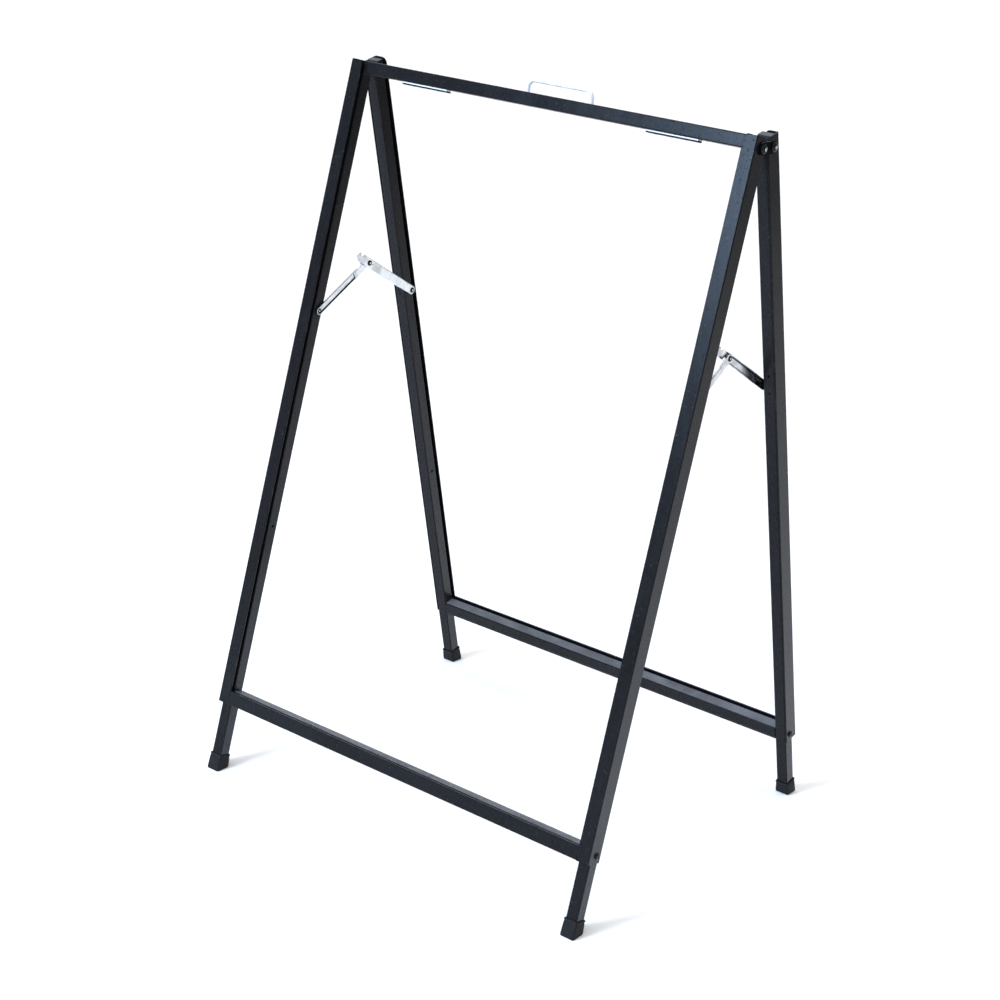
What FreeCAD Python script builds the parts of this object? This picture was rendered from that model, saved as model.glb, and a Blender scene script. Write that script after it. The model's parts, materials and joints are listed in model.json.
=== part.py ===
import FreeCAD, Part
import math
import os

# Folding slide-in sandwich board (A-frame sign stand), millimetres.
# World frame: X across the sign, Y from front to back, +Z up, origin on the floor at the centre.
# Each frame is drawn flat in its own leg frame and then leaned into place:
#   x across, y outward from the tube towards the sign face (negative outside), z up the leg,
#   with the origin on the hinge bolts' axis.

V = FreeCAD.Vector
os.makedirs("parts", exist_ok=True)

# ---- panel that slides into each frame (A1 sheet board) ----
panel_width = 594.0
panel_height = 841.0
panel_side_clear = 1.4      # each side, between the panel edge and the angle
panel_top_cover = 4.0       # the angle reaches this far above the panel
slot_gap = 5.0              # between the tube faces and the lips

# ---- sections ----
tube_size = 16.0
tube_wall = 1.2
tube_corner = 1.6
angle_wall = 1.6
angle_bend = 1.4
rear_bar_size = 11.0
rear_bar_drop = 5.0         # the rear top bar sits this far below the leg tops

# ---- stance ----
half_angle = 14.4           # each frame from the vertical
hinge_below_top = 12.6      # hinge bolt below the leg top
top_gap = 0.4               # between the two leg tops when the stand is open
leg_below_rail = 90.0       # from the end of the angles down to the floor, along the leg
leg_top_round = 9.0         # inner top corner of the legs
lip_top_round = 7.0         # inner top corner of the lips

# ---- rubber feet ----
foot_wall = 2.0
foot_height = 19.5          # up the leg, from the floor on the centre line
foot_floor = 5.0            # rubber under the tube end, on the centre line
foot_round = 1.5            # round the rim
foot_corner = 2.0           # the four upright corners

# ---- hinge bolts and links ----
hinge_bolt_dia = 6.0
hinge_head_dia = 11.5
hinge_head_height = 3.4
hinge_socket = 3.6          # across flats
hinge_socket_depth = 1.9
insert_dia = 9.0
insert_length = 12.0
bolt_tip_back = 1.0         # the bolt ends this far inside the insert's end
link_thick = 2.0
link_half_width = 7.4
link_gap = 0.4              # between the angle and the link, and under the bolt head
running_clear = 0.08        # radial, at every turning hole

# ---- rail screws and plugs ----
screw_dia = 4.0
screw_head_dia = 8.4
screw_head_height = 2.6
screw_head_round = 1.56
screw_tip_back = 3.0        # the screw ends this far inside the plug's end
screw_slot_width = 1.2
screw_slot_length = 4.6
screw_slot_depth = 1.3
screw_clear = 0.1
plug_length = 24.0
plug_clear = 0.05

# ---- locking stays ----
stay_below_hinge = 308.0    # stay rivets on the legs, measured down the leg
stay_rise = 50.5            # middle joint above the line of the end rivets
stay_front_width = 10.0
stay_rear_width = 12.0
stay_sheet = 1.2
stay_channel = 3.0          # depth of the pressed channels
stay_leg_gap = 0.5          # between the leg and the front arm
stay_layer_gap = 0.3        # between the two arms
stay_tongue = 1.4           # plate at the front arm's end
stay_tongue_length = 20.0   # from the middle joint back to the front channel's end
stay_tongue_lap = 8.0       # tongue inside the channel
stay_channel_past = 5.0     # the rear channel runs this far past the middle joint
stay_tab_length = 27.0      # the rear arm's tab past the middle joint
stay_hook_radius = 3.4
stay_hook_from_end = 8.4
stay_sleeve_dia = 6.8       # spacer sleeve on the rear end rivet
thumb_size = 5.0
rivet_dia = 4.0
rivet_head_dia = 7.6
rivet_head_height = 1.1
dimple_radius = 1.4
dimple_back = 7.2           # from the middle joint

# ---- carrying handle ----
handle_width = 95.0         # between leg centres
handle_wire = 4.0
handle_rise = 21.5          # pivot to the grip's centre line
handle_bend = 9.0
handle_foot = 15.0          # length of the turned-in pivot ends
clip_length = 9.0
clip_sheet = 0.8
clip_rivet_dia = 2.4
clip_rivet_head = 4.0
clip_rivet_lip = 0.7
clip_rivet_tail = 3.2
clip_rivet_gap = 0.2        # between the rivet's tail and the bar's top wall
clip_edge = 0.5             # from the clip's top to the bar's top

# ---- soft pads under the front top bar ----
pad_length = 72.0
pad_centre = 184.0
pad_width = 9.0
pad_thick = 3.4
pad_round = 0.6

# ---- small holes in the legs ----
side_hole_dia = 4.0
side_hole_below_hinge = 594.0
face_hole_dia = 2.6
face_holes_below_hinge = (289.0, 313.0)

# ---- cutting ----
past = 1.0                  # a cutter runs this far past the faces that it cuts
lap = 0.1                   # pieces of one solid reach this far into each other
touch = 0.01                # two places nearer than this are the same

# ---- derived places ----
overall_width = panel_width + 2.0 * panel_side_clear + 2.0 * angle_wall
half_width = overall_width / 2.0
half_tube = tube_size / 2.0
tube_outer_x = half_width - angle_wall
tube_inner_x = tube_outer_x - tube_size
tube_centre_x = tube_outer_x - half_tube
lip_out = half_tube + slot_gap + angle_wall
lip_in = half_tube + slot_gap
angle_bottom = hinge_below_top - (panel_height + panel_top_cover + angle_wall)
rail_bottom = angle_bottom + angle_wall
rail_top = rail_bottom + tube_size
rail_middle = (rail_bottom + rail_top) / 2.0
lean = math.radians(half_angle)
floor_down = leg_below_rail - angle_bottom
half_hinge = hinge_below_top * math.sin(lean) + half_tube * math.cos(lean) + top_gap / 2.0
hinge_height = floor_down * math.cos(lean)
bore = tube_size - 2.0 * tube_wall
stay_half_span = half_hinge + stay_below_hinge * math.sin(lean)
stay_pin_height = hinge_height - stay_below_hinge * math.cos(lean)
stay_arm_length = math.hypot(stay_half_span, stay_rise)
stay_angle = math.degrees(math.atan2(stay_rise, stay_half_span))
front_arm_x = tube_inner_x - stay_leg_gap
rear_arm_x = front_arm_x - stay_channel - stay_layer_gap
rear_bar_top = hinge_below_top - rear_bar_drop
rear_bar_bottom = rear_bar_top - rear_bar_size
rear_bar_back = half_tube - rear_bar_size
clip_radius = handle_wire / 2.0 + running_clear + clip_sheet
clip_top = rear_bar_top - clip_edge
clip_rivet_x = handle_width / 2.0 - handle_foot + clip_length / 2.0
handle_y = rear_bar_back - handle_wire / 2.0 - running_clear
clip_rivet_z = rear_bar_top - tube_wall - clip_rivet_gap - clip_rivet_tail / 2.0
handle_z = clip_rivet_z - clip_rivet_head / 2.0 - clip_radius

SIDES = (("left", -1), ("right", 1))


def block(x0, x1, y0, y1, z0, z1):
    """A box between two corners, in any order."""
    low = V(min(x0, x1), min(y0, y1), min(z0, z1))
    return Part.makeBox(abs(x1 - x0), abs(y1 - y0), abs(z1 - z0), low)


def rod(x0, x1, y, z, diameter):
    """A round bar along X."""
    return Part.makeCylinder(diameter / 2.0, abs(x1 - x0), V(min(x0, x1), y, z), V(1, 0, 0))


def round_edges(shape, radius, direction, where):
    """Fillets the straight edges along a direction whose middle passes a test."""
    chosen = []
    for edge in shape.Edges:
        ends = [vertex.Point for vertex in edge.Vertexes]
        if len(ends) != 2:
            continue
        run = ends[1] - ends[0]
        if run.Length < 1e-6 or abs(run.normalize().dot(direction)) < 0.999:
            continue
        if where(edge.CenterOfMass):
            chosen.append(edge)
    return shape.makeFillet(radius, chosen)


def cross_tube(size, y, z):
    """A square tube between the legs, with rounded corners."""
    half = size / 2.0
    hollow = half - tube_wall
    outer = block(-tube_inner_x, tube_inner_x, y - half, y + half, z - half, z + half)
    outer = round_edges(outer, tube_corner, V(1, 0, 0), lambda point: True)
    return outer.cut(block(-tube_inner_x, tube_inner_x, y - hollow, y + hollow, z - hollow,
                           z + hollow))


def corner_cutter(x0, x1, y_corner, z_corner, radius, y_way):
    """What is taken off a top corner to round it, seen along X; y_way points at the corner."""
    square = block(x0, x1, y_corner + y_way * past, y_corner - y_way * radius,
                   z_corner - radius, z_corner + past)
    return square.cut(rod(x0 - past, x1 + past, y_corner - y_way * radius, z_corner - radius,
                          2.0 * radius))


def place(shape, frame):
    """Leans a piece of the front frame, and turns it round for the rear frame."""
    placed = shape.copy()
    placed.rotate(V(0, 0, 0), V(1, 0, 0), -half_angle)
    placed.translate(V(0, -half_hinge, hinge_height))
    if frame == "rear":
        placed.rotate(V(0, 0, 0), V(0, 0, 1), 180)
    return placed


def save(name, shapes):
    """Writes one node: a single solid, or a group of separate solids."""
    shapes = shapes if isinstance(shapes, list) else [shapes]
    solids = []
    for shape in shapes:
        solids.extend(shape.Solids)
    whole = solids[0] if len(solids) == 1 else Part.makeCompound(solids)
    whole.exportStep("parts/" + name + ".step")


# ---- frame pieces, drawn in the leg frame ----
def leg_tube(way):
    """A leg from its closed, rounded top down to just above the floor, open at the foot."""
    bottom = -floor_down + foot_floor
    x = way * tube_centre_x
    x0 = x - half_tube
    x1 = x + half_tube
    tube = block(x0, x1, -half_tube, half_tube, bottom, hinge_below_top)
    tube = round_edges(tube, tube_corner, V(0, 0, 1), lambda point: True)
    tube = tube.cut(corner_cutter(x0, x1, half_tube, hinge_below_top, leg_top_round, 1))
    hollow = half_tube - tube_wall
    inside_top = hinge_below_top - tube_wall
    bore_shape = block(x - hollow, x + hollow, -hollow, hollow, bottom - past, inside_top)
    bore_shape = bore_shape.cut(corner_cutter(x0, x1, hollow, inside_top,
                                              leg_top_round - tube_wall, 1))
    tube = tube.cut(bore_shape)
    tube = tube.cut(rod(x, way * half_width, 0, 0, insert_dia))
    tube = tube.cut(rod(way * half_width, way * (tube_inner_x - past), 0, rail_middle,
                        screw_dia + 2.0 * screw_clear))
    tube = tube.cut(rod(way * (tube_inner_x - past), x, 0, -stay_below_hinge, rivet_dia))
    tube = tube.cut(rod(way * (tube_inner_x - past), x, 0, -side_hole_below_hinge,
                        side_hole_dia))
    for below in face_holes_below_hinge:
        tube = tube.cut(Part.makeCylinder(face_hole_dia / 2.0, half_tube + past,
                                          V(x, 0, -below), V(0, 1, 0)))
    return tube


def slot_angle(way):
    """The angle down the outside of a leg, whose lip holds the panel in."""
    outer = way * half_width
    flange = block(outer, way * tube_outer_x, half_tube, -lip_out, angle_bottom,
                   hinge_below_top)
    lip = block(outer, way * tube_inner_x, -lip_in, -lip_out, angle_bottom, hinge_below_top)
    angle = flange.fuse(lip).removeSplitter()
    angle = round_edges(angle, angle_bend, V(0, 0, 1),
                        lambda p: abs(p.x - outer) < touch and abs(p.y + lip_out) < touch)
    top = hinge_below_top
    angle = angle.cut(corner_cutter(min(outer, way * tube_outer_x) - past,
                                    max(outer, way * tube_outer_x) + past,
                                    half_tube, top, leg_top_round, 1))
    square = block(way * (tube_inner_x - past), way * (tube_inner_x + lip_top_round),
                   -lip_in + past, -lip_out - past, top - lip_top_round, top + past)
    keep = Part.makeCylinder(lip_top_round, angle_wall + 4.0 * past,
                             V(way * (tube_inner_x + lip_top_round), -lip_out - 2.0 * past,
                               top - lip_top_round), V(0, 1, 0))
    angle = angle.cut(square.cut(keep))
    angle = angle.cut(rod(outer, way * tube_centre_x, 0, 0,
                          hinge_bolt_dia + 2.0 * screw_clear))
    return angle.cut(rod(outer, way * tube_centre_x, 0, rail_middle,
                         screw_dia + 2.0 * screw_clear))


def bottom_rail():
    """The tube across the foot of the sign, between the legs."""
    return cross_tube(tube_size, 0.0, rail_middle)


def rail_angle():
    """The angle under the rail: a floor for the panel, and the lip in front of it."""
    floor = block(-tube_inner_x, tube_inner_x, half_tube, -lip_out, angle_bottom, rail_bottom)
    lip = block(-tube_inner_x, tube_inner_x, -lip_in, -lip_out, angle_bottom, rail_top)
    angle = floor.fuse(lip).removeSplitter()
    return round_edges(angle, angle_bend, V(1, 0, 0),
                       lambda p: abs(p.z - angle_bottom) < touch and abs(p.y + lip_out) < touch)


def rail_plug(way):
    """The threaded plug in a rail end that takes the rail screw."""
    half = bore / 2.0 - plug_clear
    end = way * tube_inner_x
    plug = block(end, end - way * plug_length, -half, half, rail_middle - half,
                 rail_middle + half)
    return plug.cut(rod(end, end - way * plug_length, 0, rail_middle, screw_dia))


def rail_screw(way):
    """A cross-recessed pan-head screw through the angle and the leg into the plug."""
    seat = way * half_width
    tip = way * (tube_inner_x - plug_length + screw_tip_back)
    head = Part.makeCylinder(screw_head_dia / 2.0, screw_head_height,
                             V(seat, 0, rail_middle), V(way, 0, 0))
    head = head.makeFillet(screw_head_round,
                           [edge for edge in head.Edges
                            if abs(edge.CenterOfMass.x - seat) > screw_head_height - touch
                            and len(edge.Vertexes) == 1])
    screw = head.fuse(rod(seat, tip, 0, rail_middle, screw_dia))
    face = way * (half_width + screw_head_height)
    floor = face - way * screw_slot_depth
    arm = screw_slot_length / 2.0
    thin = screw_slot_width / 2.0
    screw = screw.cut(block(face + way, floor, -arm, arm, rail_middle - thin,
                            rail_middle + thin))
    return screw.cut(block(face + way, floor, -thin, thin, rail_middle - arm,
                           rail_middle + arm))


def foot(way, frame):
    """A rubber cap on a leg end, cut level with the floor."""
    x = way * tube_centre_x
    half = half_tube + foot_wall
    reach = -floor_down - tube_size
    cap = block(x - half, x + half, -half, half, reach, -floor_down + foot_height)
    cap = round_edges(cap, foot_corner, V(0, 0, 1), lambda point: True)
    top = -floor_down + foot_height
    rim = [edge for edge in cap.Edges if abs(edge.CenterOfMass.z - top) < touch]
    cap = cap.makeFillet(foot_round, rim)
    hole = block(x - half_tube, x + half_tube, -half_tube, half_tube,
                 -floor_down + foot_floor, top + past)
    hole = round_edges(hole, tube_corner, V(0, 0, 1), lambda point: True)
    cap = place(cap.cut(hole), frame)
    return cap.cut(block(-half_width * 2, half_width * 2, -half_width * 2, half_width * 2,
                         -tube_size * 3, 0))


def hinge_bolt(way):
    """A button-head bolt that holds a link to a leg."""
    seat = half_width + link_gap + link_thick + link_gap / 2.0
    dome_radius = (hinge_head_dia ** 2 / 4.0 + hinge_head_height ** 2) / (2.0 * hinge_head_height)
    ball = Part.makeSphere(dome_radius, V(way * (seat + hinge_head_height - dome_radius), 0, 0))
    head = ball.common(rod(way * seat, way * (seat + hinge_head_height + past), 0, 0,
                           hinge_head_dia + past))
    tip = tube_outer_x - insert_length + bolt_tip_back
    bolt = head.fuse(rod(way * (seat + lap), way * tip, 0, 0, hinge_bolt_dia))
    corner = hinge_socket / math.sqrt(3.0)
    face = way * (seat + hinge_head_height - hinge_socket_depth)
    points = []
    for turn in range(7):
        spin = math.radians(60.0 * turn)
        points.append(V(face, corner * math.cos(spin), corner * math.sin(spin)))
    socket = Part.Face(Part.makePolygon(points)).extrude(V(way * hinge_socket_depth * 2.0, 0, 0))
    return bolt.cut(socket)


def hinge_insert(way):
    """The threaded insert in a leg that takes the hinge bolt."""
    sleeve = rod(way * tube_outer_x, way * (tube_outer_x - insert_length), 0, 0, insert_dia)
    return sleeve.cut(rod(way * half_width, way * (tube_inner_x - past), 0, 0, hinge_bolt_dia))


def stay_rivet_on_leg(way):
    """The rivet that holds a stay's front arm to the leg."""
    wall = tube_inner_x + tube_wall
    inside = wall + rivet_head_height
    outside = front_arm_x - stay_sheet - stay_layer_gap
    z = -stay_below_hinge
    pin = rod(way * inside, way * outside, 0, z, rivet_dia)
    inner = rod(way * inside, way * wall, 0, z, rivet_head_dia)
    outer = rod(way * outside, way * (outside - rivet_head_height), 0, z, rivet_head_dia)
    return pin.fuse(inner).fuse(outer)


def front_top_bar():
    """The bar between the front leg tops."""
    return cross_tube(tube_size, 0.0, hinge_below_top - half_tube)


def rear_top_bar():
    """The slimmer bar between the rear leg tops, drilled for the handle clips."""
    middle = rear_bar_top - rear_bar_size / 2.0
    y_middle = half_tube - rear_bar_size / 2.0
    bar = cross_tube(rear_bar_size, y_middle, middle)
    for way in (-1, 1):
        bar = bar.cut(Part.makeCylinder(clip_rivet_dia / 2.0, tube_wall * 3.0,
                                        V(way * clip_rivet_x, rear_bar_back - tube_wall * 1.5,
                                          clip_rivet_z), V(0, 1, 0)))
    return bar


def bumper(way):
    """A soft pad stuck under the front bar."""
    under = hinge_below_top - tube_size
    x = way * pad_centre
    pad = block(x - pad_length / 2.0, x + pad_length / 2.0, -pad_width / 2.0, pad_width / 2.0,
                under - pad_thick, under)
    return round_edges(pad, pad_round, V(1, 0, 0),
                       lambda p: p.z < under - pad_thick + touch)


# ---- link plates ----
def link_plate(way):
    """A link between the front and rear hinge bolts, outside the legs."""
    x0 = way * (half_width + link_gap)
    x1 = way * (half_width + link_gap + link_thick)
    plate = block(x0, x1, -half_hinge, half_hinge, hinge_height - link_half_width,
                  hinge_height + link_half_width)
    for y in (-half_hinge, half_hinge):
        plate = plate.fuse(rod(x0, x1, y, hinge_height, 2.0 * link_half_width))
    plate = plate.removeSplitter()
    for y in (-half_hinge, half_hinge):
        plate = plate.cut(rod(x0, x1, y, hinge_height,
                              hinge_bolt_dia + 2.0 * running_clear))
    return plate


# ---- stays: each arm is drawn along +Y from its end rivet, with z across it ----
def stay_channel_shape(x_base, x_open, length, width):
    """A pressed channel with a round end; its base is at x_base and it opens at x_open."""
    half = width / 2.0
    bar = block(x_base, x_open, 0, length, -half, half)
    bar = bar.fuse(rod(x_base, x_open, 0, 0, width)).removeSplitter()
    step = stay_sheet if x_open > x_base else -stay_sheet
    hollow = block(x_base + step, x_open + step, 0, length + past, -half + stay_sheet,
                   half - stay_sheet)
    hollow = hollow.fuse(rod(x_base + step, x_open + step, 0, 0, width - 2.0 * stay_sheet))
    return bar.cut(hollow)


def aim_arm(arm, way, frame):
    """Turns an arm to point up from its end rivet to the middle joint."""
    placed = arm.copy()
    placed.rotate(V(0, 0, 0), V(1, 0, 0), stay_angle)
    placed.translate(V(0, -stay_half_span, stay_pin_height))
    if frame == "rear":
        placed = placed.mirror(V(0, 0, 0), V(0, 1, 0))
    if way < 0:
        placed = placed.mirror(V(0, 0, 0), V(1, 0, 0))
    return placed


def stay_front_arm():
    """Front arm: channel open inwards, with a flat tongue and a thumb ear at the joint."""
    base = front_arm_x
    mouth = front_arm_x - stay_channel
    half = stay_front_width / 2.0
    length = stay_arm_length - stay_tongue_length
    back = length - stay_tongue_lap
    arm = stay_channel_shape(base, mouth, length, stay_front_width)
    tongue = block(mouth, mouth + stay_tongue, back, stay_arm_length, -half, half)
    tongue = tongue.fuse(rod(mouth, mouth + stay_tongue, stay_arm_length, 0,
                             stay_front_width))
    ear_y = stay_arm_length - stay_tongue_length / 2.0
    ear = block(mouth, mouth + stay_tongue, ear_y - thumb_size / 2.0, ear_y + thumb_size / 2.0,
                0, half + thumb_size / 2.0)
    ear = ear.fuse(rod(mouth, mouth + stay_tongue, ear_y, half + thumb_size / 2.0, thumb_size))
    arm = arm.fuse(tongue).fuse(ear).removeSplitter()
    arm = arm.cut(rod(base + past, base - stay_sheet - lap, 0, 0, rivet_dia + 2.0 * running_clear))
    return arm.cut(rod(mouth - past, mouth + stay_tongue + past, stay_arm_length, 0, rivet_dia))


def stay_rear_arm():
    """Rear arm: channel open outwards, whose base runs past the joint as a hooked tab."""
    mouth = rear_arm_x
    base = rear_arm_x - stay_channel
    half = stay_rear_width / 2.0
    length = stay_arm_length + stay_channel_past
    end = stay_arm_length + stay_tab_length
    arm = stay_channel_shape(base, mouth, length, stay_rear_width)
    tab = block(base, base + stay_sheet, length - past, end - half, -half, half)
    tab = tab.fuse(rod(base, base + stay_sheet, end - half, 0, stay_rear_width))
    notch = rod(base - past, base + stay_sheet + past, end - stay_hook_from_end, half,
                2.0 * stay_hook_radius)
    arm = arm.fuse(tab).removeSplitter().cut(notch)
    dimple_y = stay_arm_length - dimple_back
    ball = Part.makeSphere(dimple_radius, V(base, dimple_y, 0), V(1, 0, 0))
    arm = arm.fuse(ball.common(block(base - dimple_radius, base + stay_sheet / 2.0,
                                     dimple_y - dimple_radius, dimple_y + dimple_radius,
                                     -dimple_radius, dimple_radius)))
    arm = arm.cut(rod(base - past, base + stay_sheet + past, stay_arm_length, 0,
                      rivet_dia + 2.0 * running_clear))
    return arm.cut(rod(base - past, base + stay_sheet + past, 0, 0, rivet_dia))


def stay_middle_rivet():
    """The rivet at the middle joint, fixed in the front arm's tongue."""
    outer = front_arm_x - stay_channel + stay_tongue
    inner = rear_arm_x - stay_channel - stay_layer_gap
    pin = rod(outer, inner, stay_arm_length, 0, rivet_dia)
    heads = rod(outer, outer + rivet_head_height, stay_arm_length, 0, rivet_head_dia)
    cap = rod(inner, inner - rivet_head_height, stay_arm_length, 0, rivet_head_dia)
    return pin.fuse(heads).fuse(cap)


def stay_rear_rivet():
    """The rear end rivet with its spacer sleeve; it stops just short of the rear leg."""
    base = rear_arm_x - stay_channel
    stop = tube_inner_x - stay_leg_gap
    pin = rod(base - rivet_head_height, stop, 0, 0, rivet_dia)
    head = rod(base, base - rivet_head_height, 0, 0, rivet_head_dia)
    sleeve = rod(base + stay_sheet, stop, 0, 0, stay_sleeve_dia)
    return pin.fuse(head).fuse(sleeve)


# ---- handle, drawn in the leg frame of the rear bar ----
def wire_path():
    """Centre line of the bail: turned-in ends, legs and the grip, with round corners."""
    half = handle_width / 2.0
    low = handle_z
    high = handle_z + handle_rise
    corners = [V(half - handle_foot, handle_y, low), V(half, handle_y, low),
               V(half, handle_y, high), V(-half, handle_y, high), V(-half, handle_y, low),
               V(-half + handle_foot, handle_y, low)]
    radii = (handle_wire, handle_bend, handle_bend, handle_wire)
    edges = []
    start = corners[0]
    for index in range(1, 5):
        corner = corners[index]
        before = (corners[index - 1] - corner).normalize()
        after = (corners[index + 1] - corner).normalize()
        radius = radii[index - 1]
        enter = corner + before * radius
        leave = corner + after * radius
        middle = corner + (before + after) * radius * (1.0 - math.sqrt(0.5))
        edges.append(Part.LineSegment(start, enter).toShape())
        edges.append(Part.Arc(enter, middle, leave).toShape())
        start = leave
    edges.append(Part.LineSegment(start, corners[5]).toShape())
    return Part.Wire(edges), corners[0]


def handle_bail():
    """The wire carrying handle, upright: turned back from the bar's lean to the vertical."""
    path, start = wire_path()
    circle = Part.Wire([Part.Circle(start, V(1, 0, 0), handle_wire / 2.0).toShape()])
    bail = path.makePipeShell([circle], True, False)
    bail.rotate(V(0, handle_y, handle_z), V(1, 0, 0), half_angle)
    return bail


def handle_clip(way):
    """A saddle clip that holds a turned-in end against the rear bar."""
    x0 = way * (clip_rivet_x - clip_length / 2.0)
    x1 = way * (clip_rivet_x + clip_length / 2.0)
    face = rear_bar_back
    bore_radius = handle_wire / 2.0 + running_clear
    clip = rod(x0, x1, handle_y, handle_z, 2.0 * clip_radius)
    clip = clip.fuse(block(x0, x1, face, handle_y, handle_z - clip_radius,
                           handle_z + clip_radius))
    clip = clip.fuse(block(x0, x1, face, face - clip_sheet, handle_z, clip_top))
    clip = clip.cut(block(x0 - way, x1 + way, face, face + clip_radius,
                          handle_z - 2.0 * clip_radius, clip_top + past))
    clip = clip.removeSplitter().cut(rod(x0 - way, x1 + way, handle_y, handle_z,
                                         2.0 * bore_radius))
    clip = clip.cut(block(x0 - way, x1 + way, face + past, handle_y, handle_z - bore_radius,
                          handle_z + bore_radius))
    return clip.cut(Part.makeCylinder(clip_rivet_dia / 2.0, clip_sheet * 4.0,
                                      V(way * clip_rivet_x, face - clip_sheet * 2.0,
                                        clip_rivet_z), V(0, 1, 0)))


def clip_rivet(way):
    """A rivet that holds a handle clip to the rear bar."""
    x = way * clip_rivet_x
    seat = rear_bar_back - clip_sheet
    pin = Part.makeCylinder(clip_rivet_dia / 2.0, clip_sheet + tube_wall,
                            V(x, seat, clip_rivet_z), V(0, 1, 0))
    head = Part.makeCylinder(clip_rivet_head / 2.0, clip_rivet_lip,
                             V(x, seat, clip_rivet_z), V(0, -1, 0))
    tail = Part.makeCylinder(clip_rivet_tail / 2.0, clip_rivet_lip,
                             V(x, rear_bar_back + tube_wall, clip_rivet_z), V(0, 1, 0))
    return pin.fuse(head).fuse(tail)


# ---- the assembly ----
for frame in ("front", "rear"):
    turned = 1 if frame == "front" else -1
    for side, way in SIDES:
        local = way * turned
        save(frame + "_leg_tube_" + side, place(leg_tube(local), frame))
        save(frame + "_slot_angle_" + side, place(slot_angle(local), frame))
        save(frame + "_foot_" + side, foot(local, frame))
    save(frame + "_bottom_rail", place(bottom_rail(), frame))
    save(frame + "_rail_angle", place(rail_angle(), frame))
    save(frame + "_rail_plugs", [place(rail_plug(way), frame) for way in (-1, 1)])
    save(frame + "_rail_screws", [place(rail_screw(way), frame) for way in (-1, 1)])
    save(frame + "_hinge_bolts", [place(hinge_bolt(way), frame) for way in (-1, 1)])
    save(frame + "_hinge_inserts", [place(hinge_insert(way), frame) for way in (-1, 1)])

save("front_top_bar", place(front_top_bar(), "front"))
save("rear_top_bar", place(rear_top_bar(), "rear"))
save("front_bar_bumpers", [place(bumper(way), "front") for way in (-1, 1)])
save("front_stay_rivets", [place(stay_rivet_on_leg(way), "front") for way in (-1, 1)])
save("handle_bail", place(handle_bail(), "rear"))
save("handle_clips", [place(handle_clip(way), "rear") for way in (-1, 1)])
save("handle_clip_rivets", [place(clip_rivet(way), "rear") for way in (-1, 1)])

for side, way in SIDES:
    save("link_plate_" + side, link_plate(way))
    save("stay_front_arm_" + side, aim_arm(stay_front_arm(), way, "front"))
    save("stay_middle_rivet_" + side, aim_arm(stay_middle_rivet(), way, "front"))
    save("stay_rear_arm_" + side, aim_arm(stay_rear_arm(), way, "rear"))
    save("stay_rear_rivet_" + side, aim_arm(stay_rear_rivet(), way, "rear"))
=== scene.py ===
import json
import math
import random

import bmesh
import bpy
from mathutils import Matrix, Vector

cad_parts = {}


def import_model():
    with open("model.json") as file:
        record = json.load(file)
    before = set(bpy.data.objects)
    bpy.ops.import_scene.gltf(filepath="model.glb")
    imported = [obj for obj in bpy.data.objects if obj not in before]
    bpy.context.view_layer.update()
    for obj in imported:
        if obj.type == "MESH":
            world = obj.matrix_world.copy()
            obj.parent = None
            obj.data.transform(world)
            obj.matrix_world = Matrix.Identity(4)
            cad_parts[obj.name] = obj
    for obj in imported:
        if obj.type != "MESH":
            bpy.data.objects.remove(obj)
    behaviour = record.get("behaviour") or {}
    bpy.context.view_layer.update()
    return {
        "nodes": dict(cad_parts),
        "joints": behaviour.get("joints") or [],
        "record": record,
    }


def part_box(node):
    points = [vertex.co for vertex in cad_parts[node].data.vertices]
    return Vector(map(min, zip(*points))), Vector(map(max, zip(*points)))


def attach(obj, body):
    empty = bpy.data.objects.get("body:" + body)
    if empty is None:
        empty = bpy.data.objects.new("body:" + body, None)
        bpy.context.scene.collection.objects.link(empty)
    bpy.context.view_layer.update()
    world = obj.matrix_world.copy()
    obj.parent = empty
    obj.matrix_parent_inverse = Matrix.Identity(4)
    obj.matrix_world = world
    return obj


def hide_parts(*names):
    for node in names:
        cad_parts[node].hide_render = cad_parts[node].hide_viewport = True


# Folding sandwich board stand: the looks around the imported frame. Metres, row frame.
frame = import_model()

MM = 0.001
joints = {joint["name"]: joint for joint in frame["joints"]}
LEAN = math.radians(joints["fold"]["range_deg"][1])
HALF_HINGE = abs(joints["fold"]["pos_m"][1])
HINGE_HEIGHT = joints["fold"]["pos_m"][2]
LINK_LOW, LINK_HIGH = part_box("link_plate_right")
TUBE = 16.0 * MM
HALF_WIDTH = 300.0 * MM
SIDES = (("left", -1), ("right", 1))
FRAMES = ("front", "rear")


def world(which, x, y, z):
    """A point of a leg frame (x across, y inward, z up the leg from the hinge) in the row frame."""
    c, s = math.cos(LEAN), math.sin(LEAN)
    high = HINGE_HEIGHT - y * s + z * c
    deep = y * c + z * s - HALF_HINGE
    if which == "front":
        return Vector((x, deep, high))
    return Vector((-x, -deep, high))


# ---------------------------------------------------------------- materials
def new_material(name, color, roughness, metallic=0.0, specular=0.5):
    material = bpy.data.materials.new(name)
    material.use_nodes = True
    shader = material.node_tree.nodes["Principled BSDF"]
    shader.inputs["Base Color"].default_value = (*color, 1.0)
    shader.inputs["Roughness"].default_value = roughness
    shader.inputs["Metallic"].default_value = metallic
    shader.inputs["Specular IOR Level"].default_value = specular
    return material, shader


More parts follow.
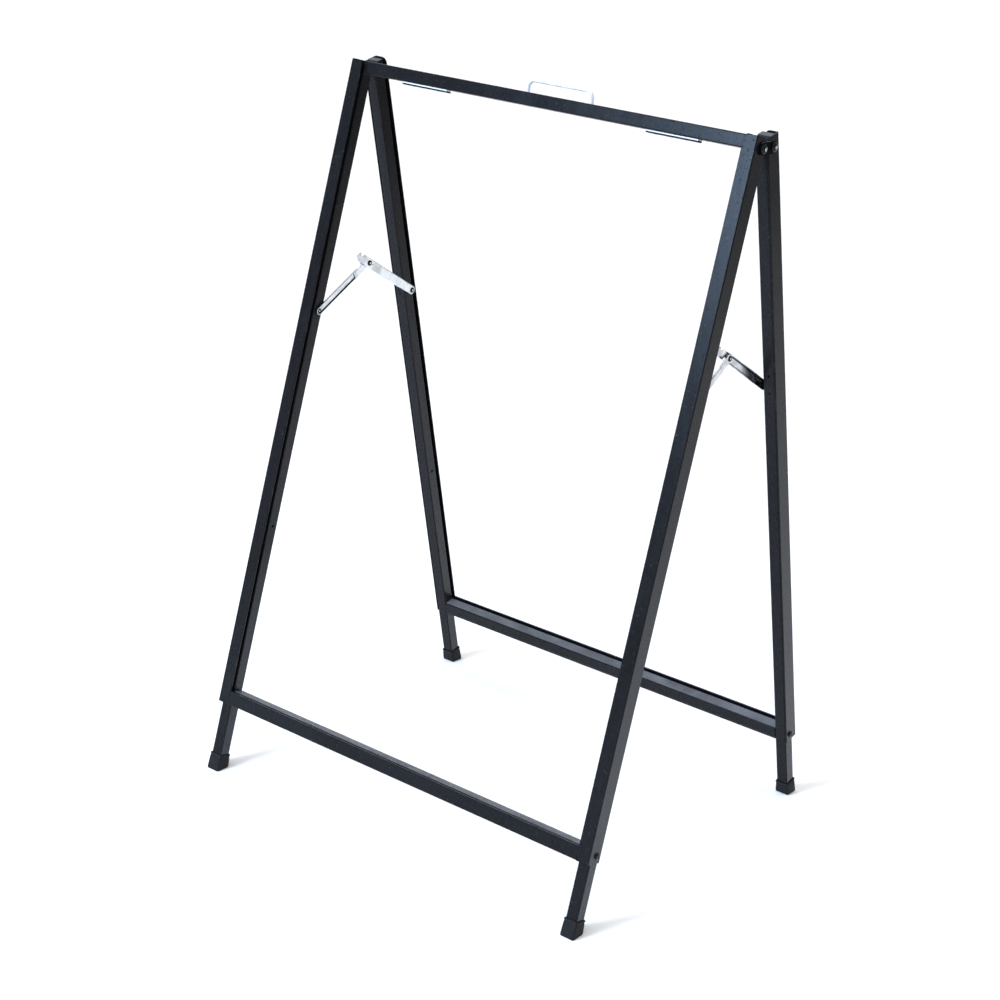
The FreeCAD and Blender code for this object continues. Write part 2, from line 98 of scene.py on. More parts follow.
class Nodes:
    """Short ways to add and join a material's nodes."""

    def __init__(self, material):
        self.tree = material.node_tree
        self.place = self.tree.nodes.new("ShaderNodeTexCoord").outputs["Object"]

    def link(self, a, b):
        self.tree.links.new(a, b)

    def noise(self, scale, detail=2.0, roughness=0.5, vector=None):
        node = self.tree.nodes.new("ShaderNodeTexNoise")
        node.inputs["Scale"].default_value = scale
        node.inputs["Detail"].default_value = detail
        node.inputs["Roughness"].default_value = roughness
        self.link(vector or self.place, node.inputs["Vector"])
        return node.outputs["Fac"]

    def stretch(self, x, y, z):
        node = self.tree.nodes.new("ShaderNodeMapping")
        node.inputs["Scale"].default_value = (x, y, z)
        self.link(self.place, node.inputs["Vector"])
        return node.outputs["Vector"]

    def span(self, value, low, high, to_low, to_high):
        node = self.tree.nodes.new("ShaderNodeMapRange")
        node.inputs["From Min"].default_value = low
        node.inputs["From Max"].default_value = high
        node.inputs["To Min"].default_value = to_low
        node.inputs["To Max"].default_value = to_high
        self.link(value, node.inputs["Value"])
        return node.outputs["Result"]

    def math(self, kind, a, b):
        node = self.tree.nodes.new("ShaderNodeMath")
        node.operation = kind
        for socket, value in zip(node.inputs, (a, b)):
            if isinstance(value, (int, float)):
                socket.default_value = value
            else:
                self.link(value, socket)
        return node.outputs["Value"]

    def mix(self, factor, a, b):
        node = self.tree.nodes.new("ShaderNodeMix")
        node.data_type = "RGBA"
        self.link(factor, node.inputs["Factor"])
        for socket, value in ((node.inputs[6], a), (node.inputs[7], b)):
            if isinstance(value, tuple):
                socket.default_value = (*value, 1.0)
            else:
                self.link(value, socket)
        return node.outputs[2]

    def edges(self, radius):
        """1 where the surface turns a sharp corner, 0 on the flats."""
        bevel = self.tree.nodes.new("ShaderNodeBevel")
        bevel.samples = 4
        bevel.inputs["Radius"].default_value = radius
        geometry = self.tree.nodes.new("ShaderNodeNewGeometry")
        dot = self.tree.nodes.new("ShaderNodeVectorMath")
        dot.operation = "DOT_PRODUCT"
        self.link(bevel.outputs["Normal"], dot.inputs[0])
        self.link(geometry.outputs["Normal"], dot.inputs[1])
        return self.span(dot.outputs["Value"], 0.99, 0.86, 0.0, 1.0)

    def axis_of(self, output, axis):
        """One axis of a texture coordinate: Object is a place on the part, Normal its facing."""
        split = self.tree.nodes.new("ShaderNodeSeparateXYZ")
        self.link(self.place.node.outputs[output], split.inputs[0])
        return split.outputs[axis]

    def height(self):
        return self.axis_of("Object", "Z")

    def sideways(self):
        """1 on the faces that look along X, the legs' flanks."""
        flank = self.math("ABSOLUTE", self.axis_of("Normal", "X"), 0.0)
        return self.span(flank, 0.8, 0.95, 0.0, 1.0)

    def upward(self):
        """1 on the faces that look up when the stand is open, which get a painted highlight."""
        return self.span(self.axis_of("Normal", "Z"), 0.84, 0.96, 0.0, 1.0)

    def bump(self, shader, height, strength, distance, round_off=0.0):
        """Fine relief; round_off also softens sharp corners so that they catch the light."""
        node = self.tree.nodes.new("ShaderNodeBump")
        if round_off:
            bevel = self.tree.nodes.new("ShaderNodeBevel")
            bevel.samples = 6
            bevel.inputs["Radius"].default_value = round_off
            self.link(bevel.outputs["Normal"], node.inputs["Normal"])
        node.inputs["Strength"].default_value = strength
        node.inputs["Distance"].default_value = distance
        self.link(height, node.inputs["Height"])
        self.link(node.outputs["Normal"], shader.inputs["Normal"])


def powder_coat(name, dark, light, rough_low, rough_high, specular):
    """Satin powder coat: orange peel, fine dark and pale specks and fine dust, a patchy painted
    highlight on the faces that look up, painted light low on the legs' flanks, and painted
    shade along the corners, with small worn spots."""
    material, shader = new_material(name, dark, rough_high, specular=specular)
    n = Nodes(material)
    cloud = n.noise(14.0, 3.0, 0.6)
    base = n.mix(n.span(cloud, 0.3, 0.7, 0.0, 1.0), dark, light)
    grit = n.noise(480.0, 2.0, 0.7)
    specks = n.span(grit, 0.61, 0.69, 0.0, 0.8)
    base = n.mix(specks, base, tuple(0.25 * value for value in dark))
    gloss = n.span(grit, 0.60, 0.68, specular, 0.08 * specular)
    across = n.sideways()
    # Painted light on the flanks: their reflection strength is raised low down and cut high up.
    gloss = n.math("MULTIPLY", gloss, n.math("ADD", 1.0, n.math("MULTIPLY", across, n.span(
        n.height(), 0.85, 0.08, -0.60, 1.9))))
    # Painted shade along the corners: the reflection is cut down there, drawing dark outlines.
    corner = n.edges(1.3 * MM)
    n.link(n.math("MULTIPLY", gloss, n.math("SUBTRACT", 1.0, n.math("MULTIPLY", corner, 0.85))),
           shader.inputs["Specular IOR Level"])
    # Painted light on the flanks: their colour is lightened towards the bottom.
    base = n.mix(n.math("MULTIPLY", across, n.span(n.height(), 0.8, 0.0, 0.0, 0.55)), base,
                 (0.024, 0.022, 0.027))
    # Painted highlight: the faces that look up are lightened in patches, standing in for the bright
    # floor's reflection at a grazing angle.
    painted_top_highlight = n.math("MULTIPLY", n.upward(), n.span(n.noise(35.0, 3.0), 0.3, 0.7, 0.55, 1.0))
    base = n.mix(painted_top_highlight, base, (0.125, 0.130, 0.142))
    dust = n.span(n.noise(480.0, 1.0, 0.5, n.stretch(1.0, 1.0, 0.8)), 0.70, 0.78, 0.0, 0.5)
    base = n.mix(dust, base, (0.07, 0.075, 0.085))
    # Painted shade: the colour is darkened along the corners.
    base = n.mix(corner, base, tuple(0.35 * value for value in dark))
    worn = n.math("MULTIPLY", corner, n.span(n.noise(90.0, 3.0), 0.56, 0.68, 0.0, 0.6))
    base = n.mix(worn, base, (0.06, 0.063, 0.07))
    n.link(base, shader.inputs["Base Color"])
    scuff = n.noise(60.0, 4.0, 0.65, n.stretch(1.0, 1.0, 0.25))
    n.link(n.span(scuff, 0.25, 0.75, rough_low, rough_high), shader.inputs["Roughness"])
    peel = n.math("ADD", n.math("MULTIPLY", n.noise(700.0, 1.0), 0.6),
                  n.math("MULTIPLY", n.noise(2200.0, 1.0), 0.25))
    n.bump(shader, peel, 0.35, 0.00012, 0.9 * MM)
    return material


def zinc_plate(name, color, rough_low, rough_high, grain, metallic=1.0):
    """Bright zinc: rolling lines along the part, cloudy passivation, dull flecks and edges."""
    material, shader = new_material(name, color, rough_high, metallic=metallic)
    n = Nodes(material)
    lines = n.noise(1.0, 3.0, 0.6, n.stretch(*grain))
    cloud = n.noise(70.0, 4.0, 0.6)
    dull = tuple(0.5 * value for value in color)
    base = n.mix(n.span(cloud, 0.38, 0.66, 0.0, 0.75), color, dull)
    flecks = n.span(n.noise(900.0, 2.0, 0.6), 0.66, 0.76, 0.0, 0.7)
    base = n.mix(flecks, base, tuple(0.4 * value for value in color))
    worn = n.math("MULTIPLY", n.edges(0.6 * MM), 0.7)
    base = n.mix(worn, base, tuple(0.32 * value for value in color))
    n.link(base, shader.inputs["Base Color"])
    rough = n.math("ADD", n.span(lines, 0.2, 0.8, rough_low, rough_high),
                   n.span(cloud, 0.3, 0.7, -0.04, 0.06))
    n.link(rough, shader.inputs["Roughness"])
    n.bump(shader, lines, 0.25, 0.00006)
    return material


def moulded(name, color, light, roughness, pits, specular):
    """Rubber or plastic: fine pits, dust in the low places and a scuffed, paler edge."""
    material, shader = new_material(name, color, roughness, specular=specular)
    n = Nodes(material)
    cloud = n.noise(90.0, 4.0, 0.65)
    base = n.mix(n.span(cloud, 0.35, 0.75, 0.0, 1.0), color, light)
    grit = n.span(n.noise(1300.0, 2.0, 0.6), 0.6, 0.75, 0.0, 0.6)
    base = n.mix(grit, base, tuple(0.3 * value for value in color))
    worn = n.math("MULTIPLY", n.edges(0.9 * MM), n.span(n.noise(160.0, 2.0), 0.3, 0.7, 0.2, 0.8))
    base = n.mix(worn, base, tuple(2.0 * value for value in light))
    n.link(base, shader.inputs["Base Color"])
    n.link(n.span(cloud, 0.3, 0.7, roughness - 0.1, roughness + 0.1), shader.inputs["Roughness"])
    n.bump(shader, n.noise(pits, 3.0, 0.6), 0.45, 0.00018)
    return material


coat = powder_coat("coat", (0.0042, 0.0043, 0.0052), (0.0066, 0.0068, 0.0080), 0.20, 0.32, 0.125)
hardware = powder_coat("hardware", (0.0035, 0.0035, 0.004), (0.006, 0.006, 0.0065),
                       0.16, 0.30, 0.22)
# A darker, duller copy of the coat for the hinge links: painted shade, for the dark gap between the
# legs at the hinge.
link_painted_shade = powder_coat("link_painted_shade", (0.0016, 0.0016, 0.0018), (0.0028, 0.0028, 0.003),
                         0.45, 0.60, 0.05)
zinc = zinc_plate("zinc", (0.78, 0.80, 0.83), 0.12, 0.30, (40.0, 60.0, 60.0))
# Near-white zinc for the insides of the bolts' hexagon sockets: a painted highlight, the bright
# spot where each socket catches the light.
socket = zinc_plate("socket", (0.92, 0.93, 0.95), 0.08, 0.18, (60.0, 60.0, 60.0))
# A dark copy of the zinc: painted shade for the channels' inner walls and the rims of the rivet
# heads.
shade = zinc_plate("shade", (0.030, 0.031, 0.034), 0.18, 0.32, (40.0, 60.0, 60.0))
bright_wire = zinc_plate("bright_wire", (0.97, 0.97, 0.98), 0.10, 0.26, (60.0, 60.0, 60.0), 0.35)
rubber = moulded("rubber", (0.0060, 0.0060, 0.0068), (0.0105, 0.0105, 0.0115), 0.55, 900.0, 0.16)
foam = moulded("foam", (0.80, 0.81, 0.82), (0.90, 0.90, 0.90), 0.85, 500.0, 0.2)
nylon = moulded("nylon", (0.018, 0.018, 0.020), (0.026, 0.026, 0.028), 0.48, 600.0, 0.4)
slot_materials = {"black_coat": coat, "black_hardware": hardware, "zinc": zinc, "rubber": rubber,
                  "nylon": nylon}
node_slot = {part["node"]: part["material_slot"] for part in frame["record"]["subparts"]}
for name, node in frame["nodes"].items():
    node.data.materials.clear()
    node.data.materials.append(slot_materials[node_slot[name]])


# ---------------------------------------------------------------- pieces
def flat_axes(which, way):
    """Origin and axes of a leg frame: across (outward on that side), inward, up the leg."""
    origin = world(which, 0.0, 0.0, 0.0)
    across = Vector((float(way), 0.0, 0.0))
    deep = world(which, 0.0, 1.0, 0.0) - origin
    high = world(which, 0.0, 0.0, 1.0) - origin
    return origin, across, deep, high


def add_piece(name, mesh, body, material, nodes=(), smooth=35.0, second=None):
    """Makes a mesh a piece of the stand, smooth over its gentle bends."""
    mesh.materials.clear()
    mesh.materials.append(material)
    build = bmesh.new()
    build.from_mesh(mesh)
    bmesh.ops.remove_doubles(build, verts=build.verts, dist=0.004 * MM)
    bmesh.ops.recalc_face_normals(build, faces=build.faces)
    if second:
        mesh.materials.append(second[0])
    for face in build.faces:
        face.smooth = True
        if second and second[1](face):
            face.material_index = 1
    for edge in build.edges:
        if len(edge.link_faces) != 2 or edge.calc_face_angle(0.0) > math.radians(smooth):
            edge.smooth = False
    build.to_mesh(mesh)
    build.free()
    piece = bpy.data.objects.new(name, mesh)
    bpy.context.scene.collection.objects.link(piece)
    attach(piece, body)
    if nodes:
        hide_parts(*nodes)


def mesh_of(build, name):
    mesh = bpy.data.meshes.new(name)
    build.to_mesh(mesh)
    build.free()
    return mesh


def loft(build, rings):
    """Skins a row of equal-length rings of points and closes both ends."""
    rows = [[build.verts.new(point) for point in ring] for ring in rings]
    count = len(rows[0])
    for a, b in zip(rows, rows[1:]):
        for i in range(count):
            j = (i + 1) % count
            build.faces.new((a[i], a[j], b[j], b[i]))
    build.faces.new(list(reversed(rows[0])))
    build.faces.new(rows[-1])


def circle(radius, count):
    return [(radius * math.cos(math.tau * i / count),
             radius * math.sin(math.tau * i / count)) for i in range(count)]


def turned(build, centre, axis, side, profile, count=40, shapes=None):
    """A turned part: profile rows of (distance along the axis, radius); shapes may give a row
    its own outline as a function of the angle, scaled by that radius."""
    axis = axis.normalized()
    side = (side - axis * side.dot(axis)).normalized()
    other = axis.cross(side)
    rings = []
    for row, (along, radius) in enumerate(profile):
        ring = []
        for i in range(count):
            angle = math.tau * i / count
            reach = radius
            if shapes and row in shapes:
                reach = radius * shapes[row](angle)
            ring.append(centre + axis * along + side * (reach * math.cos(angle))
                        + other * (reach * math.sin(angle)))
        rings.append(ring)
    loft(build, rings)


def hexagon(angle):
    """Distance to the side of a hexagon of unit inner radius."""
    part = math.tau / 6.0
    return 1.0 / math.cos((angle + part / 2.0) % part - part / 2.0)


def cross_shape(slim):
    """Outline of a cross recess: arms of unit length and a given half width."""
    def reach(angle):
        best = 0.0
        for lead in (0.0, math.pi / 2.0):
            c = abs(math.cos(angle - lead))
            s = abs(math.sin(angle - lead))
            best = max(best, min(1.0 / max(c, 1e-6), slim / max(s, 1e-6)))
        return best
    return reach


# ---- rubber feet: a moulded cap with a rolled rim, a waist line and a treaded sole ----
def rounded_square(half, corner, steps=5):
    points = []
    for turn_index, (cx, cy) in enumerate(((1, 1), (-1, 1), (-1, -1), (1, -1))):
        for i in range(steps + 1):
            angle = math.pi / 2.0 * (turn_index + i / steps)
            points.append(((half - corner) * cx + corner * math.cos(angle),
                           (half - corner) * cy + corner * math.sin(angle)))
    return points


# Rows of half width, corner radius and height in mm: the cap's height is square to the leg and
# counts from its top, the sole's is level with the floor and counts from it.
CAP_ROWS = ((8.02, 1.7, -3.0), (8.02, 1.7, 0.0), (8.5, 1.9, 0.35), (9.3, 2.2, 0.25),
            (9.8, 2.4, -0.35), (9.85, 2.4, -1.3), (9.5, 2.3, -1.75), (9.25, 2.2, -2.1),
            (9.3, 2.2, -2.6), (9.6, 2.2, -6.0))
SOLE_ROWS = ((9.95, 2.2, 4.0), (9.95, 2.2, 1.1), (9.75, 2.1, 0.45), (9.3, 1.9, 0.0),
             (7.6, 1.6, 0.0), (7.3, 1.5, 0.7), (6.5, 1.4, 0.7), (6.2, 1.4, 0.0),
             (4.6, 1.2, 0.0), (4.3, 1.1, 0.7), (3.4, 1.0, 0.7), (3.1, 0.9, 0.0),
             (1.2, 0.5, 0.0))
SLANT = math.tan(LEAN)
FLOOR_LEVEL = -HINGE_HEIGHT / math.cos(LEAN)
CAP_TOP = FLOOR_LEVEL + 19.3 * MM
for which in FRAMES:
    for side, way in SIDES:
        node_name = f"{which}_foot_{side}"
        low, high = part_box(node_name)
        centre_x = (low.x + high.x) / 2.0
        local_x = centre_x if which == "front" else -centre_x
        rings = [[world(which, local_x + x, y, CAP_TOP + rise * MM)
                  for x, y in rounded_square(half * MM, corner * MM)]
                 for half, corner, rise in CAP_ROWS]
        rings += [[world(which, local_x + x, y, FLOOR_LEVEL + y * SLANT + rise * MM)
                   for x, y in rounded_square(half * MM, corner * MM)]
                  for half, corner, rise in SOLE_ROWS]
        build = bmesh.new()
        loft(build, rings)
        add_piece(f"{which}_rubber_foot_{side}", mesh_of(build, "foot"), f"{which}_frame",
                  rubber, [node_name], smooth=30.0)

# ---- hinge bolts with a hexagon socket, and rail screws with a cross recess ----
# Rows of distance outward and radius in mm; the numbered rows take the recess's outline.
BOLT_ROWS = ((-15.0, 2.0), (-14.6, 2.9), (0.0, 2.9), (0.0, 5.6), (0.25, 5.75), (0.75, 5.72),
             (1.5, 5.25), (2.2, 4.4), (2.75, 3.4), (3.0, 2.6), (3.05, 2.3), (2.9, 2.02),
             (1.4, 1.92), (1.0, 0.7))
BOLT_RECESS = (11, 12)
SCREW_ROWS = ((-38.0, 1.2), (-37.4, 1.9), (0.0, 1.9), (0.0, 4.05), (0.3, 4.19), (1.0, 4.14),
              (1.7, 3.8), (2.25, 3.2), (2.5, 2.75), (2.52, 2.45), (2.4, 2.25), (1.3, 1.5),
              (0.9, 0.6))
SCREW_RECESS = (9, 10, 11)
BOLT_SEAT = LINK_HIGH.x + 0.2 * MM
SOCKET_FLOOR = BOLT_SEAT + 0.8 * MM
SOCKET_RADIUS = 2.2 * MM


def in_mm(rows):
    return [(along * MM, radius * MM) for along, radius in rows]


for which in FRAMES:
    for side, way in SIDES:
        origin, across, deep, high = flat_axes(which, way)
        centre = Vector((way * BOLT_SEAT, origin.y, origin.z))
        build = bmesh.new()
        turned(build, centre, across, high, in_mm(BOLT_ROWS), 48,
               dict.fromkeys(BOLT_RECESS, hexagon))

        # The inside of the socket takes the painted highlight.
        def in_socket(face, spot=centre):
            middle = face.calc_center_median()
            return abs(middle.x) > SOCKET_FLOOR and math.hypot(
                middle.y - spot.y, middle.z - spot.z) < SOCKET_RADIUS

        add_piece(f"{which}_bolt_{side}", mesh_of(build, "bolt"), f"{which}_frame",
                  hardware,
                  [f"{which}_hinge_bolts"] if side == "right" else (), smooth=28.0,
                  second=(socket, in_socket))
        rail_low, rail_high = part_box(f"{which}_bottom_rail")
        rail_centre = (rail_low + rail_high) / 2.0
        centre = Vector((way * HALF_WIDTH, rail_centre.y, rail_centre.z))
        build = bmesh.new()
        turned(build, centre, across, deep + high * 0.35, in_mm(SCREW_ROWS), 64,
               dict.fromkeys(SCREW_RECESS, cross_shape(0.24)))
        add_piece(f"{which}_screw_{side}", mesh_of(build, "screw"), f"{which}_frame",
                  hardware,
                  [f"{which}_rail_screws"] if side == "right" else (), smooth=28.0)


# ---- flat pressed plates, from outlines with rounded edges ----
def outline_plate(name, outer, holes, thickness, bevel, matrix):
    """A plate from an outline and round holes (u, v, radius), its edges rounded over."""
    curve = bpy.data.curves.new(name, "CURVE")
    curve.dimensions = "2D"
    curve.fill_mode = "BOTH"
    curve.extrude = thickness / 2.0 - bevel
    curve.bevel_depth = bevel
    curve.bevel_resolution = 2
    curve.offset = -bevel
    loops = [outer] + [[(u + x, v + y) for x, y in circle(radius, 32)] for u, v, radius in holes]
    for loop in loops:
        spline = curve.splines.new("POLY")
        spline.points.add(len(loop) - 1)
        for point, (u, v) in zip(spline.points, loop):
            point.co = (u, v, 0.0, 1.0)
        spline.use_cyclic_u = True
    holder = bpy.data.objects.new(name, curve)
    bpy.context.scene.collection.objects.link(holder)
    bpy.context.view_layer.update()
    shaped = holder.evaluated_get(bpy.context.evaluated_depsgraph_get())
    mesh = bpy.data.meshes.new_from_object(shaped)
    bpy.data.objects.remove(holder)
    mesh.transform(matrix)
    return mesh


def arc(cx, cy, radius, start, end, steps):
    return [(cx + radius * math.cos(math.radians(start + (end - start) * i / steps)),
             cy + radius * math.sin(math.radians(start + (end - start) * i / steps)))
            for i in range(steps + 1)]


def frame_matrix(origin, u_axis, v_axis):
    """Plate space to the row frame: u and v in the plate, w out of it."""
    u_axis = u_axis.normalized()
    v_axis = v_axis.normalized()
    w_axis = u_axis.cross(v_axis)
    return Matrix.Translation(origin) @ Matrix((u_axis, v_axis, w_axis)).transposed().to_4x4()


link_half = (LINK_HIGH.z - LINK_LOW.z) / 2.0
for side, way in SIDES:
    low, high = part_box(f"link_plate_{side}")
    outer = arc(HALF_HINGE, 0.0, link_half, -90.0, 90.0, 20)
    outer += arc(-HALF_HINGE, 0.0, link_half, 90.0, 270.0, 20)
    holes = [(-HALF_HINGE, 0.0, 3.08 * MM), (HALF_HINGE, 0.0, 3.08 * MM)]
    matrix = frame_matrix(Vector(((low.x + high.x) / 2.0, 0.0, HINGE_HEIGHT)),
                          Vector((0, 1, 0)), Vector((0, 0, 1)))
    mesh = outline_plate("link", outer, holes, high.x - low.x, 0.45 * MM, matrix)
    add_piece(f"hinge_link_{side}", mesh, "hinge_links", link_painted_shade,
              [f"link_plate_{side}"])


def rim_of(spot):
    """Tests for the rim of a rivet head round a centre, seen across X; the rim takes the painted
    shade.
    """
    def test(face):
        middle = face.calc_center_median()
        return 1.3 * MM < math.hypot(middle.y - spot.y, middle.z - spot.z) < 4.0 * MM
    return test


# ---- locking stays, drawn along the arm from its end rivet (across, along, over) ----
knee = joints["stay_knee_right"]["pos_m"]
pin = joints["stay_front_turn_right"]["pos_m"]
STAY_SPAN = -pin[1]
STAY_ANGLE = math.atan2(knee[2] - pin[2], STAY_SPAN)
ARM = math.hypot(STAY_SPAN, knee[2] - pin[2])
LEG_FACE = 282.4 * MM  # inner flanks of the legs
FRONT_BASE = 281.9 * MM  # the channels' bases, with their mouths towards each other
REAR_BASE = 275.6 * MM
FRONT_WIDTH = 10.0 * MM
REAR_WIDTH = 12.0 * MM
SHEET = 1.2 * MM
CHANNEL = 3.0 * MM
TONGUE = 1.4 * MM
HEAD = 3.7 * MM
HEAD_HEIGHT = 1.1 * MM


def arm_point(which, way, x, y, z):
    deep = y * math.cos(STAY_ANGLE) - z * math.sin(STAY_ANGLE) - STAY_SPAN
    high = y * math.sin(STAY_ANGLE) + z * math.cos(STAY_ANGLE) + pin[2]
    return Vector((way * x, deep if which == "front" else -deep, high))


def arm_axes(which, way):
    base = arm_point(which, way, 0.0, 0.0, 0.0)
    return [arm_point(which, way, *step) - base for step in ((1, 0, 0), (0, 1, 0), (0, 0, 1))]


def channel_outline(length, half, inset, steps=14):
    """Half-round end at the rivet and straight sides to the cut end."""
    reach = half - inset
    points = [(length, -reach), (length * 0.66, -reach), (length * 0.33, -reach)]
    points += arc(0.0, 0.0, reach, 270.0, 90.0, steps)
    points += [(length * 0.33, reach), (length * 0.66, reach), (length, reach)]
    return points


def channel(build, which, way, base, mouth, length, width, hole_y):
    """A pressed channel of even sheet with round bends, a round end, a cut end and a hole."""
    half = width / 2.0
    toward = 1.0 if mouth > base else -1.0
    outer_bend, inner_bend = 1.5 * MM, 0.5 * MM
    outer = [(0.18 * MM, CHANNEL), (0.0, CHANNEL - 0.18 * MM)]
    for i in range(6):
        turn = math.pi / 2.0 * i / 5.0
        outer.append((outer_bend * (1.0 - math.cos(turn)), outer_bend * (1.0 - math.sin(turn))))
    inner = [(SHEET - 0.18 * MM, CHANNEL), (SHEET, CHANNEL - 0.18 * MM)]
    for i in range(4):
        turn = math.pi / 2.0 * i / 3.0
        inner.append((SHEET + inner_bend * (1.0 - math.cos(turn)),
                      SHEET + inner_bend * (1.0 - math.sin(turn))))
    rows = []
    # An extra row on the base, so that a strip beside each wall takes the painted shade as well.
    inner.append((SHEET + inner_bend + 1.0 * MM, SHEET))
    for inset, rise in list(reversed(outer)) + inner:
        ring = channel_outline(length, half, inset)
        rows.append([build.verts.new(arm_point(which, way, base + toward * rise, y, z))
                     for y, z in ring])
    for a, b in zip(rows, rows[1:]):
        for i in range(len(a) - 1):
            build.faces.new((a[i], a[i + 1], b[i + 1], b[i]))
    build.faces.new([row[0] for row in rows] + [row[-1] for row in reversed(rows)])
    edge_rings = []
    for row, rise in ((rows[0], 0.0), (rows[-1], SHEET)):
        ring = [build.verts.new(arm_point(which, way, base + toward * rise, hole_y + y, z))
                for y, z in circle(2.08 * MM, 28)]
        edges = [build.edges.new((ring[i], ring[(i + 1) % 28])) for i in range(28)]
        edges += [build.edges.get((row[i], row[(i + 1) % len(row)])) for i in range(len(row))]
        bmesh.ops.triangle_fill(build, use_beauty=True, use_dissolve=False, edges=edges)
        edge_rings.append(ring)
    for i in range(28):
        j = (i + 1) % 28
        build.faces.new((edge_rings[0][i], edge_rings[0][j], edge_rings[1][j], edge_rings[1][i]))


def channel_walls(which, way, base, mouth, width, depth):
    """Tests for the inner walls and bends of a channel, which lie in its own shade."""
    start = arm_point(which, way, 0.0, 0.0, 0.0)
    axes = arm_axes(which, way)
    toward = 1.0 if mouth > base else -1.0

    def test(face):
        spot = face.calc_center_median() - start
        x, y, z = (spot.dot(axis) for axis in axes)
        rise = (x - base) * toward
        off = abs(z) if y > 0.0 else math.hypot(y, z)
        return (SHEET * 0.9 < rise < CHANNEL - 0.1 * MM
                and width / 2.0 - depth < off < width / 2.0 - 1.0 * MM)
    return test


def arm_plate(name, which, way, outer, holes, x_low, x_high, bevel):
    x_axis, y_axis, z_axis = arm_axes(which, way)
    origin = arm_point(which, way, (x_low + x_high) / 2.0, 0.0, 0.0)
    return outline_plate(name, outer, holes, x_high - x_low, bevel,
                         frame_matrix(origin, y_axis, z_axis))


def dome(build, centre, axis, side, foot, radius, height, count=36):
    """A rivet head seated from foot to height above the centre, with a flat crown."""
    rows = [(foot, radius * 0.5), (foot, radius * 0.93), (foot + 0.08 * MM, radius * 0.985),
            (foot + 0.22 * MM, radius)]
    for i in range(1, 8):
        turn = math.pi / 2.0 * i / 8.0
        rows.append((foot + 0.22 * MM + (height - 0.22 * MM) * math.sin(turn),
                     radius * (0.12 + 0.88 * math.cos(turn))))
    rows.append((foot + height, radius * 0.12))
    rows.append((foot + height - 0.05 * MM, radius * 0.05))
    turned(build, centre, axis, side, rows, count)


